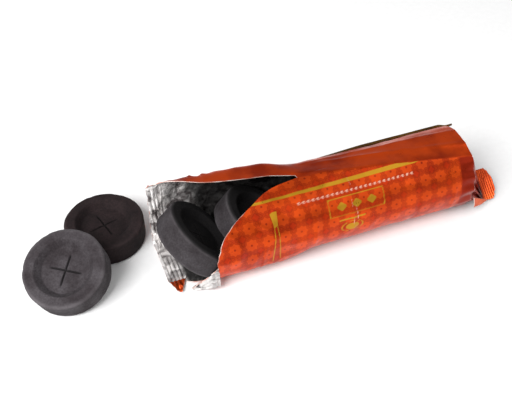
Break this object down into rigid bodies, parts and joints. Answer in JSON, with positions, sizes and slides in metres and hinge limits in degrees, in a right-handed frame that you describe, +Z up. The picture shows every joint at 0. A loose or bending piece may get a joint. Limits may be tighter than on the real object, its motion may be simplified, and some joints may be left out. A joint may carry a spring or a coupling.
{
  "type": "charcoal tablet roll",
  "caption": "Torn foil sleeve of round charcoal tablets: a standing row, two fallen over in the open mouth and two lying beside it.",
  "frame": {"origin": "on the middle line of the sleeve's flat underside, 72 mm along from where its straight part starts at the torn end", "axes": "+X along the sleeve towards its closed end, +Y to the back where the seam fin lies, +Z up from the surface it lies on"},
  "size_m": [0.2444, 0.075, 0.0418],
  "materials": {
    "charcoal_grey": "matte",
    "charcoal_brown": "matte",
    "printed_foil": "gloss",
    "deep_red_foil": "gloss",
    "silver_foil": "satin"
  },
  "bodies": {
    "wrapper": {"sleeve_base": "printed_foil", "sleeve_front": "printed_foil", "sleeve_top": "printed_foil", "sleeve_back": "deep_red_foil", "mouth_seal_corner": "silver_foil", "end_gusset_front": "deep_red_foil", "end_top": "printed_foil", "end_gusset_back": "deep_red_foil", "end_base": "deep_red_foil"},
    "fin": {"seam_fin": "deep_red_foil"},
    "mouth_wall": {"mouth_seal_back": "silver_foil"},
    "tip": {"mouth_tip": "printed_foil"},
    "curl": {"torn_curl": "silver_foil"},
    "end_strip": {"end_seal": "printed_foil"},
    "corner_flap": {"end_corner_flap": "printed_foil"},
    "back_tablet": {"loose_tablet_back": "charcoal_brown"},
    "front_tablet": {"loose_tablet_front": "charcoal_grey"},
    "toppled": {"toppled_tablet": "charcoal_grey"},
    "leaning": {"leaning_tablet": "charcoal_grey"},
    "stacked_1": {"stacked_tablet_1": "charcoal_grey"},
    "stacked_2": {"stacked_tablet_2": "charcoal_grey"},
    "stacked_3": {"stacked_tablet_3": "charcoal_grey"},
    "stacked_4": {"stacked_tablet_4": "charcoal_grey"},
    "stacked_5": {"stacked_tablet_5": "charcoal_grey"},
    "stacked_6": {"stacked_tablet_6": "charcoal_grey"}
  },
  "joints": [
    {"name": "push_tablet_6", "type": "slide", "parent": "wrapper", "child": "stacked_6", "axis": [-1, 0, 0], "range_m": [0, 0.011]},
    {"name": "push_tablet_5", "type": "slide", "parent": "stacked_6", "child": "stacked_5", "axis": [-1, 0, 0], "range_m": [0, 0.011]},
    {"name": "push_tablet_4", "type": "slide", "parent": "stacked_5", "child": "stacked_4", "axis": [-1, 0, 0], "range_m": [0, 0.011]},
    {"name": "push_tablet_3", "type": "slide", "parent": "stacked_4", "child": "stacked_3", "axis": [-1, 0, 0], "range_m": [0, 0.011]},
    {"name": "push_tablet_2", "type": "slide", "parent": "stacked_3", "child": "stacked_2", "axis": [-1, 0, 0], "range_m": [0, 0.011]},
    {"name": "push_tablet_1", "type": "slide", "parent": "stacked_2", "child": "stacked_1", "axis": [-1, 0, 0], "range_m": [0, 0.011]},
    {"name": "push_leaning_tablet", "type": "slide", "parent": "stacked_1", "child": "leaning", "axis": [-1, 0, 0], "range_m": [0, 0.011]},
    {"name": "draw_out_toppled_tablet", "type": "slide", "parent": "leaning", "child": "toppled", "axis": [-0.7193, 0, 0.6947], "range_m": [0, 0.045]},
    {"name": "lift_back_tablet", "type": "slide", "parent": "wrapper", "child": "back_tablet", "axis": [0, 0, 1], "range_m": [0, 0.06]},
    {"name": "lift_front_tablet", "type": "slide", "parent": "back_tablet", "child": "front_tablet", "axis": [0, 0, 1], "range_m": [0, 0.06]},
    {"name": "fin_fold", "type": "hinge", "parent": "wrapper", "child": "fin", "pos_m": [0.0286, 0.01674, 0.03383], "axis": [1, 0, 0], "range_deg": [0, 80]},
    {"name": "mouth_wall_bend", "type": "hinge", "parent": "wrapper", "child": "mouth_wall", "pos_m": [-0.08425, 0.0226, 0.0233], "axis": [0, 0, 1], "range_deg": [-25, 12]},
    {"name": "tip_fold", "type": "hinge", "parent": "wrapper", "child": "tip", "pos_m": [-0.0875, -0.00595, 0.0002], "axis": [-1, 0, 0], "range_deg": [0, 70]},
    {"name": "curl_bend", "type": "hinge", "parent": "wrapper", "child": "curl", "pos_m": [-0.0725, -0.01747, 0.00588], "axis": [0, -0.5407, 0.8412], "range_deg": [0, 15]},
    {"name": "end_strip_bend", "type": "hinge", "parent": "wrapper", "child": "end_strip", "pos_m": [0.0814, -0.00531, 0.00714], "axis": [0, -0.8192, -0.5736], "range_deg": [0, 45]},
    {"name": "corner_flap_bend", "type": "hinge", "parent": "wrapper", "child": "corner_flap", "pos_m": [0.0675, -0.0193, 0.009], "axis": [-0.8774, -0.2795, 0.39], "range_deg": [0, 35]}
  ]
}
